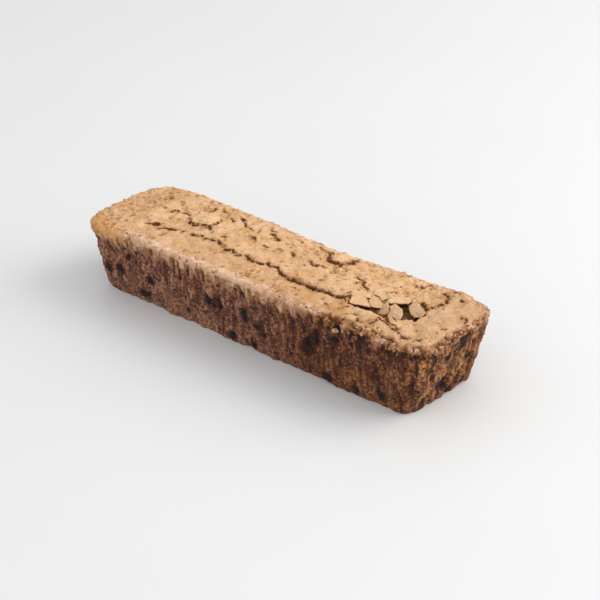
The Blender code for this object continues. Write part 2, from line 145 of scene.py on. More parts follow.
# Rings of a flake, from the middle of its top over the edge and back under: scale, depth and crust.
FLAKE_LEVELS = tuple((scale, 0.0, 1.0) for scale in (0.05, 0.2, 0.35, 0.5, 0.65, 0.78, 0.88, 0.95)) + (
    (0.985, 0.03, 1.0), (1.0, 0.12, 0.75), (1.0, 0.3, 0.3), (0.97, 0.5, 0.1), (0.94, 0.75, 0.0),
    (FLAKE_UNDERSIDE, 1.0, 0.0), (0.6, 1.0, 0.0), (0.3, 1.0, 0.0), (0.05, 1.0, 0.0))

# Plates of crust that stand a little proud: the middle, how far, and the corners.
PLATES = (
    ((-109, 0), 0.6,
     ((-117, -10), (-118, 8), (-113, 17), (-106, 17), (-100, 9), (-100, -2), (-98, -12), (-103, -15))),
    ((-73, 9), 0.9,
     ((-82, 2), (-86, 11), (-85, 18), (-78, 21), (-67, 18), (-60, 12), (-60, 5), (-65, 0), (-72, -2))),
    ((35, 23), 0.8,
     ((25, 20), (26, 26), (32, 32), (41, 35), (44, 28), (45, 21), (42, 16), (36, 15), (31, 14))),
)

# Dashes in which the main crack stands open: half width, and the line that each follows.
MAIN_DASHES = (
    (0.8, ((-106, -18), (-101, -17), (-97, -14.5))),
    (0.9, ((-93, -20), (-91, -17), (-87, -14.5), (-82, -13.5), (-79.5, -12))),
    (0.8, ((-76, -13.5), (-74, -11.5))), (1.2, ((-68, -12.5), (-64.5, -12))),
    (1.0, ((-62.5, -10.5), (-60, -10))), (0.8, ((-57, -10.5), (-51, -9))),
    (1.4, ((-47, -9), (-42.5, -10.5), (-40, -10))), (1.3, ((-37, -13.5), (-33, -13))),
    (1.1, ((-31, -12), (-27, -13.5))), (1.4, ((-25, -15.5), (-22, -14.5))),
    (1.7, ((-18, -12), (-14, -15), (-10.5, -15.5))), (1.1, ((-8, -15.5), (-2, -15))),
    (1.3, ((1, -12), (4, -13.5), (7, -12.5), (10, -13), (14, -15.5), (20, -17.5))),
    (2.7, ((24, -18), (27, -17.5), (30, -17), (35, -18), (40, -18), (47, -18))),
    (2.0, ((50, -17.5), (55, -17.5), (60, -16.5))), (1.5, ((63, -16.5), (70, -16.5))),
)

# Short nicks between small flakes: half width, and line.
NICKS = (
    (1.0, ((-107, 17.5), (-104.5, 16.5))), (1.0, ((-38, 23), (-34, 17))), (1.1, ((-29, 28), (-26, 26))),
    (0.9, ((-26, 23), (-23, 22))), (2.0, ((-19, 19), (-16.5, 18))), (1.7, ((-32, 8), (-29, 8))),
    (0.8, ((-19, 6), (-15, 6))), (1.2, ((-9, 9), (-5, 8), (-4, 6))), (1.4, ((3, 9), (6, 7.5), (8, 5))),
    (1.0, ((12, 6.5), (15, 6))), (1.4, ((19, 8), (22, 6), (25, 4.5))), (0.9, ((27, 6), (34, 8))),
    (1.5, ((13, 29), (19, 27))), (1.0, ((-6, 28), (-3, 27))), (1.2, ((41, -7), (43.5, -7))),
    (1.1, ((-128, 9), (-124, 8))), (1.2, ((-112, 5), (-109, 5))), (1.2, ((-78, 29), (-75, 29))),
    (1.1, ((-70, 26), (-68, 22))), (1.0, ((-95, 8), (-91, 9))), (1.0, ((-60, 29), (-56, 28))),
    (1.0, ((61, 5), (65, 8))), (1.0, ((42, 6), (47, 5.7))), (1.1, ((67.6, -17.7), (69.5, -11))),
    (1.0, ((107.5, 12), (111, 10))), (1.0, ((138, -6.7), (140, -6))), (1.1, ((143, -4.5), (146, -7))),
    (1.0, ((135, -29), (137, -27))), (1.5, ((117, 33), (121, 33))), (1.6, ((95, 28), (97, 27))),
    (1.1, ((97, 34), (98.5, 33.5))), (1.1, ((91, 27.5), (92.5, 27))), (1.3, ((109, 20.5), (110.5, 19))),
    (1.6, ((127, 28), (128.5, 27))), (1.2, ((138, 13), (139, 12.5))), (1.7, ((141.5, 13), (143.5, 9))),
    (1.9, ((146.5, 26), (148.5, 22))), (1.1, ((123, -15), (124, -15.5))), (0.9, ((-50, -3), (-46, -1))),
    (1.0, ((-66, 24), (-61, 22))), (0.9, ((34, -25), (39, -25.5))),
    (0.9, ((81, -32), (85, -29.5), (89, -28))), (1.6, ((91.5, -37), (92.6, -34), (92, -31))),
    (1.3, ((106.5, -35.5), (109.5, -35.5), (111.5, -34))),
    (1.7, ((114.5, -36), (118, -36.5), (121, -35.5))), (1.0, ((111, -24.5), (115, -24.5), (120, -26))),
    (1.4, ((125, -30), (128, -30.5), (130, -28.5))), (0.9, ((72, -26.5), (77, -23.5))),
    (1.5, ((87.5, 4), (89.5, 9.5))), (1.0, ((114, -9), (118.5, -6.5))), (1.1, ((101, -31), (104, -28))),
    (1.2, ((98, -37), (101, -35.5))), (1.0, ((62, -27), (66, -29))),
)

# How deep the cracks are cut: dashes and nicks by their half width, the shorter cracks by their depth. Then
# how far the lip is lifted, how dark the nicks are, and where the seeds start.
DASH_CUT, CRACK_CUT, NICK_CUT = 1.1, 0.7, 0.8
DASH_LIFT, NICK_LIFT, NICK_SHADE = 0.4, 0.3, 0.8
DASH_SEED, CRACK_SEED, NICK_SEED = 150, 50, 110

# An oval of crumbly crust: its middle, half length, half width and turn. Then those where the crust has
# broken into flakes: middle, half length, half width, the share of the way out to which each is full, and how
# broken it is.
CRUMBLY_OVAL = ((104, 30), 34, 12, 0)
BROKEN_OVALS = (((-90, 14), 44, 26, 0.5, 1.0), ((92, 8), 34, 17, 0.4, 1.0), ((5, 18), 82, 20, 0.4, 0.75))
FLAKE_CELLS = ((12.0, 1.1, 33), (6.0, 0.8, 34))          # their pitch, lift and seed
PEBBLE_RADIUS = 1.8                                      # of the crumb's round pebbles

# Where along X these start and are full: the shelf below the main crack, the crust of the two ends, and the
# broken lumps along the near rim and round its corner.
SHELF_START, SHELF_STOP = (-112, -100), (84, 70)
LEFT_START, RIGHT_START, LUMPS_START, CORNER_START = (-106, -124), (114, 128), (56, 76), (126, 134)

# Hollows torn from the crumb: the side, place along it, height, half width, half height and depth.
TORN_HOLLOWS = (
    ("near", -114, 19, 6.0, 5.0, 3.0),
    ("near", -21, 23, 3.8, 9.0, 3.2),
    ("near", -18, 10, 2.4, 9.0, 2.2),
    ("near", 57, 21, 4.5, 8.0, 3.0),
    ("near", 81, 45, 4.5, 5.5, 4.4),
    ("near", 13, 20, 4.0, 5.0, 2.2),
    ("near", -121, 0, 4.0, 4.0, 3.0),
    ("right", -6, 12, 5.5, 9.0, 3.6),
    ("right", 4, 46, 3.5, 4.5, 2.4),
)
SIDES = {"near": ((1, 0), (0, -1)), "right": ((0, 1), (1, 0))}

# The notch broken out of the near rim: its place along X and below the rim, its half sizes and its depth.
NOTCH, NOTCH_SIZE, NOTCH_DEPTH = (80.5, -1.0), (3.4, 5.5), 3.4
RIM_LUMPS = ((7.0, 1.8, 1.0, 57), (3.8, 0.8, 0.6, 56))   # pitch, depth, shade of the seams, and seed

# Loose crumbs stuck to the crust, the rim and the sides. Below CRUMB_LINE they have the crumb's colour. Then
# the large ones: middle and half sizes.
CRUMB_COUNT, CRUMB_SEED, CRUMB_LINE = 340, 5, 46.0
LARGE_CRUMBS = (((144.2, -8.0, 49.2), (2.2, 3.0, 1.3)), ((80.4, -39.2, 42.2), (2.8, 1.7, 1.4)),
                ((90.0, -36.5, 48.2), (3.4, 2.2, 1.4)), ((97.0, -35.5, 48.4), (2.6, 1.9, 1.2)))

# The camera, placed for the photograph's 600 by 600 frame.
CAMERA_PLACE = (0.6736, -0.7562, 0.5563)
CAMERA_TILT, CAMERA_TURN = 62.09, 40.94
CAMERA_LENS, CAMERA_SENSOR = 103.5, 36.0

# The lights: name, place, aim, size, power and colour. Then the pale surround's colour and strength.
LIGHTS = (("window", (1.0, 1.05, 0.95), (0, 0, 0.02), 1.5, 25, (1.0, 0.985, 0.96)),
          ("fill", (0.7, -1.2, 0.7), (0, 0, 0.03), 1.4, 4, (1.0, 0.98, 0.96)))
SURROUND_COLOUR, SURROUND_STRENGTH = (0.93, 0.95, 1.0, 1), 0.90


def ease(start, end, value):
    """Rise smoothly from 0 at start to 1 at end."""
    share = np.clip((value - start) / (end - start), 0, 1)
    return share * share * (3 - 2 * share)


def lumps(x, y, z, pitch, seed):
    """Uneven lumps about one unit high: a few sine waves that cross in random directions."""
    draw = np.random.default_rng(seed)
    total = np.zeros(np.shape(x))
    for _ in range(9):
        direction = draw.normal(size=3)
        direction /= np.linalg.norm(direction)
        wave = 2 * pi / (pitch * draw.uniform(0.6, 1.5))
        run = x * direction[0] + y * direction[1] + z * direction[2]
        total += np.sin(wave * run + draw.uniform(0, 2 * pi))
    return total / 3


def scatter(cell, seed):
    """A whole number for each lattice cell, spread evenly below 2 to the power 32."""
    mixed = cell[:, 0] * 374761393 + cell[:, 1] * 668265263 + cell[:, 2] * 1440662683 + seed * 974634777
    mixed &= 0xFFFFFFFF
    mixed = ((mixed ^ (mixed >> 13)) * 1274126177) & 0xFFFFFFFF
    return mixed ^ (mixed >> 16)


def grain(points, pitch, seed):
    """Smooth noise, mostly between -1 and 1, with features about a pitch apart."""
    place = points / pitch
    cell = np.floor(place).astype(np.int64)
    part = place - cell
    blend = part ** 3 * (part * (part * 6 - 15) + 10)
    total = np.zeros(len(points))
    for corner in np.ndindex(2, 2, 2):
        code = scatter(cell + np.array(corner), seed)
        slope = np.stack((code & 255, (code >> 8) & 255, (code >> 16) & 255), 1) / 127.5 - 1
        weight = np.prod(np.where(corner, blend, 1 - blend), 1)
        total += weight * ((part - np.array(corner)) * slope).sum(1)
    return 1.5 * total


def shaken(points, pitch, seed):
    """Places moved to and fro by noise, by about one unit."""
    return np.column_stack([grain(points, pitch, seed + k) for k in range(3)])


def cells(points, pitch, seed):
    """Distances to the nearest and second nearest of scattered spots, and the nearest's place and draw."""
    place = points / pitch
    cell = np.floor(place).astype(np.int64)
    nearest, second = np.full(len(points), 9.0), np.full(len(points), 9.0)
    own, spot = np.zeros(len(points)), np.zeros(points.shape)
    flat = not np.ptp(points[:, 2]) > 0
    for step in np.ndindex(3, 3, 1 if flat else 3):
        corner = cell + np.array(step) - np.array((1, 1, 0 if flat else 1))
        code = scatter(corner, seed)
        there = corner + np.stack((code & 255, (code >> 8) & 255, (code >> 16) & 255), 1) / 255
        if flat:
            there[:, 2] = 0
        gap = np.linalg.norm(place - there, axis=1)
        closer = gap < nearest
        second = np.where(closer, nearest, np.minimum(second, gap))
        own = np.where(closer, (code >> 24) / 255, own)
        spot = np.where(closer[:, None], there, spot)
        nearest = np.minimum(nearest, gap)
    return nearest * pitch, second * pitch, spot * pitch, own


def side_points(half_along, half_across, corner, shares):
    """Points on one side of a rounded rectangle, from the middle of one corner to the middle of the next."""
    straight = half_along - corner
    reach = straight + corner * pi / 4
    walked = (2 * shares - 1) * reach
    turned = np.maximum(np.abs(walked) - straight, 0) / corner
    along = np.sign(walked) * (np.minimum(np.abs(walked), straight) + corner * np.sin(turned))
    return along, half_across - corner * (1 - np.cos(turned))


def outline(length, width, corner, long_shares, short_shares):
    """The near, right, far and left sides of a rounded rectangle, each running towards +X or +Y."""
    along, across = side_points(length / 2, width / 2, corner, long_shares)
    near, far = np.stack((along, -across), 1), np.stack((along, across), 1)
    along, across = side_points(width / 2, length / 2, corner, short_shares)
    right, left = np.stack((across, along), 1), np.stack((-across, along), 1)
    return near, right, far, left


def loop(near, right, far, left):
    """The four sides as one loop, anticlockwise seen from above."""
    return np.concatenate((near[:-1], right[:-1], far[:0:-1], left[:0:-1]))


def line_distance(x, y, points):
    """Distance from each place to a line through the points, and on which side it lies: 1 is the left."""
    nearest, side = np.full(np.shape(x), np.inf), np.ones(np.shape(x))
    for (ax, ay), (bx, by) in zip(points[:-1], points[1:]):
        dx, dy = bx - ax, by - ay
        share = np.clip(((x - ax) * dx + (y - ay) * dy) / (dx * dx + dy * dy), 0, 1)
        away = np.hypot(x - ax - share * dx, y - ay - share * dy)
        side = np.where(away < nearest, np.sign(dx * (y - ay) - dy * (x - ax)), side)
        nearest = np.minimum(nearest, away)
    return nearest, side


def reach_share(x, y, middle, edge):
    """How far a place lies on its way from the middle to an edge with corners: 1 on the edge."""
    reached = np.zeros(np.shape(x))
    dx, dy = x - middle[0], y - middle[1]
    for (ax, ay), (bx, by) in zip(edge, edge[1:] + edge[:1]):
        ax, ay, bx, by = ax - middle[0], ay - middle[1], bx - middle[0], by - middle[1]
        full = ax * by - ay * bx
        first, last = (dx * by - dy * bx) / full, (ax * dy - ay * dx) / full
        reached = np.where((first >= 0) & (last >= 0), first + last, reached)
    return reached


def oval(x, y, middle, half_length, half_width, turn):
    """Distance from an oval's middle, where its edge is 1."""
    c, s = cos(radians(turn)), sin(radians(turn))
    dx, dy = x - middle[0], y - middle[1]
    return np.hypot((dx * c + dy * s) / half_length, (dy * c - dx * s) / half_width)


def crack_y(x):
    """Where the main crack lies across the loaf."""
    return np.interp(x, [point[0] for point in MAIN_CRACK], [point[1] for point in MAIN_CRACK])


def inset(x, y):
    """How far a place on the crown lies inside the rim."""
    past_x = np.abs(x) - (RIM_LENGTH / 2 - RIM_CORNER)
    past_y = np.abs(y) - (RIM_WIDTH / 2 - RIM_CORNER)
    outside = np.hypot(np.maximum(past_x, 0), np.maximum(past_y, 0))
    return RIM_CORNER - outside - np.minimum(np.maximum(past_x, past_y), 0)


def crown_form(x, y):
    """Height of the crust before its cracks: rim, shoulder and domed crown, with its swells."""
    rim = RIM_HEIGHT - LEFT_DROOP * ease(-125, -150, x)
    end_shoulder = np.where(x < 0, LEFT_SHOULDER, RIGHT_SHOULDER)
    shoulder = SIDE_SHOULDER + (end_shoulder - SIDE_SHOULDER) * ease(112, 140, np.abs(x))
    fall = np.clip(1 - inset(x, y) / shoulder, 0, 1)
    dome = DOME * (1 - (2 * x / RIM_LENGTH) ** 2) * (1 - (2 * y / RIM_WIDTH) ** 2)
    height = CROWN_HEIGHT + dome - (CROWN_HEIGHT - rim) * fall ** 2
    for middle, half_length, half_width, turn, rise in SWELLS:
        height += rise * ease(1, 0, oval(x, y, middle, half_length, half_width, turn))
    inside = ease(0, 6, inset(x, y))
    height += inside * (0.5 * lumps(x, y, 0, 34, 3) + 0.4 * lumps(x, y, 0, 11, 4))
    shelf = inside * SHELF_DROP * ease(1.5, -2.5, y - crack_y(x))
    return height - shelf * ease(*SHELF_START, x) * ease(*SHELF_STOP, x)


def grid_shares():
    """Row places across the crown, finer across the main crack, and how far each row bends with it."""
    middle = crack_y(0.0)
    near_lip, far_lip = middle - CRACK_HALF_WIDTH, middle + CRACK_HALF_WIDTH
    shelf = np.linspace(-RIM_WIDTH / 2, near_lip, SHELF_CELLS + 1)
    crack = np.linspace(near_lip, far_lip, CRACK_CELLS + 1)
    plateau = np.linspace(far_lip, RIM_WIDTH / 2, PLATEAU_CELLS + 1)
    rows = np.concatenate((shelf, crack[1:-1], plateau))
    tent = np.interp(rows, (-RIM_WIDTH / 2, near_lip, far_lip, RIM_WIDTH / 2), (0, 1, 1, 0))
    return rows / RIM_WIDTH + 0.5, tent, middle


def crown_grid(long_shares, short_shares):
    """Places on the crown, blended between the four sides of the rim."""
    near, right, far, left = outline(RIM_LENGTH, RIM_WIDTH, RIM_CORNER, long_shares, short_shares)
    s, t = long_shares[:, None, None], short_shares[None, :, None]
    across = (1 - t) * near[:, None] + t * far[:, None]
    along = (1 - s) * left[None] + s * right[None]
    corners = (1 - s) * ((1 - t) * near[0] + t * far[0]) + s * ((1 - t) * near[-1] + t * far[-1])
    return across + along - corners


def side_rings(grid, heights, long_shares, short_shares):
    """The rings of points down the side, and each ring's share of the height."""
    rim = loop(grid[:, 0], grid[-1], grid[:, -1], grid[0])
    rim_z = loop(heights[:, :1], heights[-1][:, None], heights[:, -1:], heights[0][:, None])[:, 0]
    base = loop(*outline(BASE_LENGTH, BASE_WIDTH, BASE_CORNER, long_shares, short_shares))
    tangent = np.roll(rim, -1, 0) - np.roll(rim, 1, 0)
    normal = np.stack((tangent[:, 1], -tangent[:, 0]), 1)
    normal /= np.linalg.norm(normal, axis=1)[:, None]
    bulge = NEAR_BULGE * np.maximum(-normal[:, 1], 0) * ease(-60, 30, base[:, 0])
    bulge += RIGHT_BULGE * np.maximum(normal[:, 0], 0) * ease(0, 60, base[:, 0])
    base = base + normal * bulge[:, None]
    rings = []
    for share in np.linspace(1, 0, SIDE_CELLS + 1)[1:]:
        lip = LIP_SHARE * ease(130, 90, rim[:, 0])
        reached = (1 - lip) * share + lip * ease(LIP_START, LIP_END, share)
        ring = base + (rim - base) * reached[:, None]
        x, y, z = ring[:, 0], ring[:, 1], rim_z * share
        offset = FLUTE_DEPTH * lumps(x, y, z / FLUTE_STRETCH, FLUTE_PITCH, 5)
        offset += LUMP_DEPTH * lumps(x, y, z, LUMP_PITCH, 6)
        offset *= 1 - ease(LIP_START, 1, share)
        offset -= ROUNDED_FOOT * max(1 - share / FOOT_HEIGHT, 0) ** 2
        rings.append(np.column_stack((ring + normal * offset[:, None], z)))
    return rings


def pores(points, pitch, seed, wide, narrow, share):
    """Scattered pores in a share of the cells: 1 within the narrow distance of a middle, 0 at the wide."""
    nearest, _, _, own = cells(points, pitch, seed)
    return ease(wide, narrow, nearest) * (own < share)


def pebble(away):
    """The height of a round pebble of crumb at a distance from its middle: 1 at its top."""
    return np.sqrt(np.maximum(1 - (away / PEBBLE_RADIUS) ** 2, 0))


def flaky_crust(flat, sway, broken, rise, gap, tint):
    """Crust broken into small flakes, lifted at their near edges, added to rise, gap and tint, with a painted
    shadow along the near edges.
    """
    for pitch, lifted, seed in FLAKE_CELLS:
        nearest, second, spot, own = cells(flat + 1.7 * sway, pitch, seed)
        near = (spot - flat)[:, 1] / (0.5 * pitch)
        flake = broken * (own > 0.35)
        edge = ease(0.9, 0.2, second - nearest)
        rise += flake * lifted * (0.35 + 0.65 * np.clip(near, -0.4, 1) - 0.8 * edge)
        # A painted shadow along the lifted front edges.
        front = ease(0.15, 0.7, near) * ease(-0.25, 0.35, grain(flat, 6, 36 + seed))
        gap = np.maximum(gap, 0.85 * flake * edge * front)
        tint = tint + 0.5 * flake * (own - 0.6) + 0.2 * flake * ease(0.2, 0.9, near)
    return rise, gap, tint


def crown_relief(points):
    """What the crust's fine surface stands up or down, its gaps from 0 to 1 that set its painted shade, and
    how pale it has baked.
    """
    x, y = points[:, 0], points[:, 1]
    flat = points * (1, 1, 0)
    sway = (0.9 * shaken(flat, 3.6, 20) + 0.55 * shaken(flat, 1.6, 24)) * (1, 1, 0)
    _, _, spot, _ = cells(flat + 0.5 * sway, 2.0, 28)
    ragged = 0.55 * (flat + sway) + 0.45 * (spot + 0.5 * sway)
    rag_x, rag_y = ragged[:, 0], ragged[:, 1]
    shelf = ease(0, -4, y - crack_y(x)) * ease(*SHELF_START, x) * ease(90, 70, x)
    left, right = ease(*LEFT_START, x), ease(*RIGHT_START, x)
    band = ease(9, 3, inset(x, y))
    crumbly = np.maximum(np.maximum(left, ease(22, 38, y)), 0.6 * band)
    crumbly = np.maximum(crumbly, ease(1, 0.5, oval(x, y, *CRUMBLY_OVAL)))
    broken = np.full(len(x), 0.12)
    for middle, half_length, half_width, full, share in BROKEN_OVALS:
        broken = np.maximum(broken, share * ease(1, full, oval(x, y, middle, half_length, half_width, 0)))
    broken = broken * (1 - 0.9 * shelf) * (1 - 0.8 * np.maximum(left, right))

    plate, rise = np.zeros(len(x)), np.zeros(len(x))
    for middle, stands, edge in PLATES:
        inside = ease(1.06, 0.92, reach_share(rag_x, rag_y, middle, edge))
        rise += stands * inside
        plate = np.maximum(plate, inside * ease(-0.9, 0.3, grain(flat, 8, 25)))
    broken = broken * (1 - 0.8 * plate)
    tint = 0.35 * (1 - shelf) * (1 - left) + 0.45 * plate

    rough = 0.26 + 0.24 * crumbly - 0.10 * plate - 0.08 * right
    rise += 0.45 * grain(flat, 6.0, 30) + rough * (grain(flat, 3.0, 31) + 0.7 * grain(flat, 1.8, 32))
    nearest, _, _, own = cells(flat + 0.8 * sway, 2.6, 29)
    rise += crumbly * (1.2 * pebble(nearest) * own - 0.5)
    rise += right * (0.7 * grain(flat, 7.0, 39) + 0.45 * np.abs(grain(flat, 3.4, 40)))

    # Painted shade between the crumbly lumps, in the dents, pores and cracks.
    gap = 0.35 * crumbly * ease(1.1, 1.7, nearest) * ease(-0.4, 0.3, grain(flat, 5, 27))
    dent = pores(flat + 1.2 * sway, 6.5, 26, 2.2, 0.7, 0.3) * (1 - 0.9 * plate) * (1 - 0.5 * right)
    rise -= 0.7 * dent
    gap = np.maximum(gap, 0.3 * dent)
    rise, gap, tint = flaky_crust(flat, sway, broken, rise, gap, tint)

    share = 0.02 + 0.04 * right + 0.16 * band * (1 - left)
    pore = pores(flat + 0.4 * sway, 3.1, 38, 0.95, 0.35, share)
    rise -= 0.7 * pore
    gap = np.maximum(gap, 0.8 * pore)

    for half_width, depth, lift, shade, seed, line in crack_marks():
        crack, dark, lifted = ragged_crack(flat, rag_x, rag_y, line, half_width, seed)
        rise += lift * lifted - depth * crack
        gap = np.maximum(gap, shade * dark)
    return rise, gap, np.clip(tint, 0, 1)


def crack_marks():
    """Every crack in the crown: half width, depth, lift of the lip on its left, shade, seed and line."""
    for number, (half_width, line) in enumerate(MAIN_DASHES):
        yield half_width, DASH_CUT * half_width, DASH_LIFT, 1.0, DASH_SEED + number, line
    for number, (half_width, depth, lift, line) in enumerate(SIDE_CRACKS):
        yield half_width, CRACK_CUT * depth, lift, 1.0, CRACK_SEED + number, line
    for number, (half_width, line) in enumerate(NICKS):
        yield half_width, NICK_CUT * half_width, NICK_LIFT, NICK_SHADE, NICK_SEED + number, line


def ragged_crack(flat, rag_x, rag_y, line, half_width, seed):
    """A torn crack that opens and closes along its line, its shade, and the lift of the lip on its left."""
    away, side = line_distance(rag_x, rag_y, line)
    opening = half_width * np.clip(0.62 + 0.85 * grain(flat, 3.0, seed), 0.12, 1.2)
    crack, halo = ease(1.15, 0.4, away / opening), 0.38 * ease(2.6, 0.6, away / half_width)
    return crack, np.maximum(crack, halo), ease(5.0, 0.3, away) * (side > 0)


def pit_depth(points):
    """How far the crown has sunk in the pit: broken walls, and rubble that rises to the middle."""
    flat = points * (1, 1, 0)
    sway = (0.8 * shaken(flat, 3.0, 44) + 0.4 * shaken(flat, 1.4, 47)) * (1, 1, 0)
    _, _, spot, own = cells(flat + 0.5 * sway, 2.6, 45)
    ragged = 0.5 * (flat + sway) + 0.5 * spot
    reached = reach_share(ragged[:, 0], ragged[:, 1], PIT_MIDDLE, PIT_EDGE)
    wall = ease(1.03, 0.95, reached)
    floor = RUBBLE_TOP + (PIT_FLOOR - RUBBLE_TOP) * np.clip(reached, 0, 1)
    floor = floor + 1.8 * (own - 0.5) + 0.7 * grain(flat, 2.4, 46)
    return wall * (points[:, 2] - floor), wall


def torn_hollows(points, bend, out, gap):
    """The hollows torn from the near side and the right end, added to what stands out and, as painted shade,
    to the gaps.
    """
    x, y, z = points.T
    torn_crumb = grain(points, 3.0, 61)
    for side, place, height, half_width, half_height, depth in TORN_HOLLOWS:
        along, outward = SIDES[side]
        facing = ease(0.55, 0.8, (x * outward[0] / RIM_LENGTH + y * outward[1] / RIM_WIDTH) * 2)
        run = x * along[0] + y * along[1]
        away = oval(run + 2.2 * bend[:, 0], z + 2.2 * bend[:, 1], (place, height), half_width, half_height, 0)
        torn = ease(1.1, 0.5, away) * facing
        out += torn * (1.6 * torn_crumb - 0.75 * depth)
        # Painted shade in the torn hollows.
        gap = np.maximum(gap, torn * (0.3 + 0.6 * ease(0.7, -0.5, torn_crumb)))
    return out, gap


def side_relief(points):
    """What the crumb of the side stands out or in, and how deep in a gap each point lies, from 0 to 1, for
    painted shade.
    """
    x, _, z = points.T
    bend = shaken(points, 5.0, 60)
    drawn_out = points * (1, 1, 0.2) + 0.7 * bend
    flutes = grain(drawn_out, 4.6, 63)
    broad = grain(points * (1, 1, 0.3) + 1.2 * bend, 9, 59)
    groove = np.maximum(ease(-0.25, -0.7, flutes), ease(-0.3, -0.7, broad))
    out = 0.7 * flutes + 0.4 * grain(drawn_out, 2.4, 64) - 0.5 * groove
    # Painted shade in the grooves, between ribs and pebbles, and in holes and pores.
    gap = (0.32 + 0.3 * ease(0, 60, x)) * groove

    ribs = ease(34, 43, z) * ease(40, 0, x) * ease(-120, -100, x)
    column = grain(points * (1, 1, 0.1) + 0.4 * bend, 3.6, 58)
    out += ribs * (1.3 * column - 0.5)
    gap = np.maximum(gap, 0.75 * ribs * ease(0.0, -0.45, column))
    nearest, _, _, own = cells(points + 0.5 * bend, 2.5, 65)
    out += 0.75 * pebble(nearest) * (0.3 + own) - 0.45
    out += 0.5 * grain(points, 2.1, 66) + 0.3 * grain(points, 5.5, 67)
    gap = np.maximum(gap, 0.45 * ease(1.1, 1.7, nearest) * ease(-0.3, 0.3, grain(points, 4, 62)))

    hole = pores(points * (1, 1, 0.55) + 0.9 * bend, 6.0, 68, 2.2, 0.6, 0.16) * ease(46, 38, z)
    out -= 1.5 * hole
    gap = np.maximum(gap, 0.9 * hole)

    pore = pores(points + 0.4 * bend, 2.6, 69, 1.1, 0.4, 0.22)
    out -= 0.6 * pore
    gap = np.maximum(gap, 0.6 * pore)
    return torn_hollows(points, bend, out, gap)


def rubble(points, drop):
    """The broken lumps of crust round the rim's +X half: what they stand out, and painted shade in the gaps
    between them.
    """
    x, y = points[:, 0], points[:, 1]
    where = ease(-8, -4, drop) * ease(9, 3, drop) * ease(*LUMPS_START, x) * ease(0, -8, y - 0.5 * x + 60)
    where = np.maximum(where, 0.8 * ease(-7, -3, drop) * ease(7, 2, drop) * ease(*CORNER_START, x))
    where *= ease(-0.6, 0.0, grain(points, 15, 75))
    sway = 1.6 * shaken(points, 4.5, 70) + 0.7 * shaken(points, 2.0, 73)
    stand, gap = np.zeros(len(x)), np.zeros(len(x))
    for pitch, depth, shade, seed in RIM_LUMPS:
        nearest, second, _, own = cells(points + sway, pitch, seed)
        seam = ease(0.24 * pitch, 0.06 * pitch, second - nearest) * ease(0.15, 0.45, own)
        stand += where * depth * (0.6 * own - 0.4 - seam)
        # Painted shade in the seams between lumps and in the notch.
        gap = np.maximum(gap, shade * where * ease(0.3, 0.9, seam))
    notch = ease(1.1, 0.5, oval(x + 0.5 * sway[:, 0], drop, NOTCH, *NOTCH_SIZE, 0)) * (y < -30)
    return stand - NOTCH_DEPTH * notch, np.maximum(gap, notch)


def seat_raisins(points, raisins):
    """How far each point lies from the nearest raisin's middle, where the raisin's edge is about 1."""
    nearest = np.full(len(points), 9.0)
    for low, high in raisins:
        middle, half = (low + high) / 2, (high - low) / 2
        nearest = np.minimum(nearest, np.linalg.norm((points - middle) / (half + 0.4), axis=1))
    return nearest


def put(name, data):
    """A new object of the data, in the scene."""
    item = bpy.data.objects.new(name, data)
    bpy.context.scene.collection.objects.link(item)
    return item


def mesh_piece(name, points, faces):
    """A named, smooth-shaded object from points in millimetres."""
    mesh = bpy.data.meshes.new(name)
    mesh.from_pydata((np.asarray(points, float) * MM).tolist(), [], faces)
    mesh.update()
    mesh.shade_smooth()
    return put(name, mesh)


def inside_box(points, margin):
    """Points kept inside the solid's box by a margin."""
    low, high = np.array(CAD_BOX) / MM
    return np.clip(points, low + margin, high - margin)


def move_points(item, points):
    """Put a piece's points at new places, in millimetres."""
    item.data.vertices.foreach_set("co", (points * MM).astype(np.float32).ravel())
    item.data.update()


def store(item, **layers):
    """Keep one number a point on the mesh for each name, for the materials to read."""
    for name, values in layers.items():
        layer = item.data.attributes.new(name, "FLOAT", "POINT")
        layer.data.foreach_set("value", np.asarray(values, np.float32))


def normals(item):
    """The mesh's point normals."""
    flat = np.empty(len(item.data.vertices) * 3, np.float32)
    item.data.vertices.foreach_get("normal", flat)
    return flat.reshape(-1, 3).astype(float)


def loaf_faces(columns, rows, rings):
    """Faces of the loaf: the crown's grid, the side's rows and the flat foot."""
    index = np.arange(columns * rows).reshape(columns, rows)
    crown = np.stack((index[:-1, :-1], index[1:, :-1], index[1:, 1:], index[:-1, 1:]), -1).reshape(-1, 4)
    faces = crown.tolist()
    upper = loop(index[:, :1], index[-1][:, None], index[:, -1:], index[0][:, None])[:, 0]
    count = len(upper)
    for row in range(rings):
        lower = columns * rows + row * count + np.arange(count)
        faces += np.stack((upper, lower, np.roll(lower, -1), np.roll(upper, -1)), 1).tolist()
        upper = lower
    return faces + [upper[::-1].tolist()]


def long_shares():
    """Places along the long sides, closer together by the pit."""
    runs = [np.linspace(start, stop, count, endpoint=False) for start, stop, count in LONG_STRETCHES]
    return np.append(np.concatenate(runs), 1.0)


def bare_loaf():
    """The loaf with a smooth skin: its points, its faces, and how many points its crown and foot have."""
    along = long_shares()
    across, tent, middle = grid_shares()
    grid = crown_grid(along, across)
    grid[:, :, 1] += tent * (crack_y(grid[:, :, 0]) - middle)
    heights = crown_form(grid[:, :, 0], grid[:, :, 1])
    rings = side_rings(grid, heights, along, across)
    crown_points = np.dstack((grid, heights)).reshape(-1, 3)
    points = np.concatenate([crown_points] + rings)
    return points, loaf_faces(*grid.shape[:2], len(rings)), len(crown_points), len(rings[0])


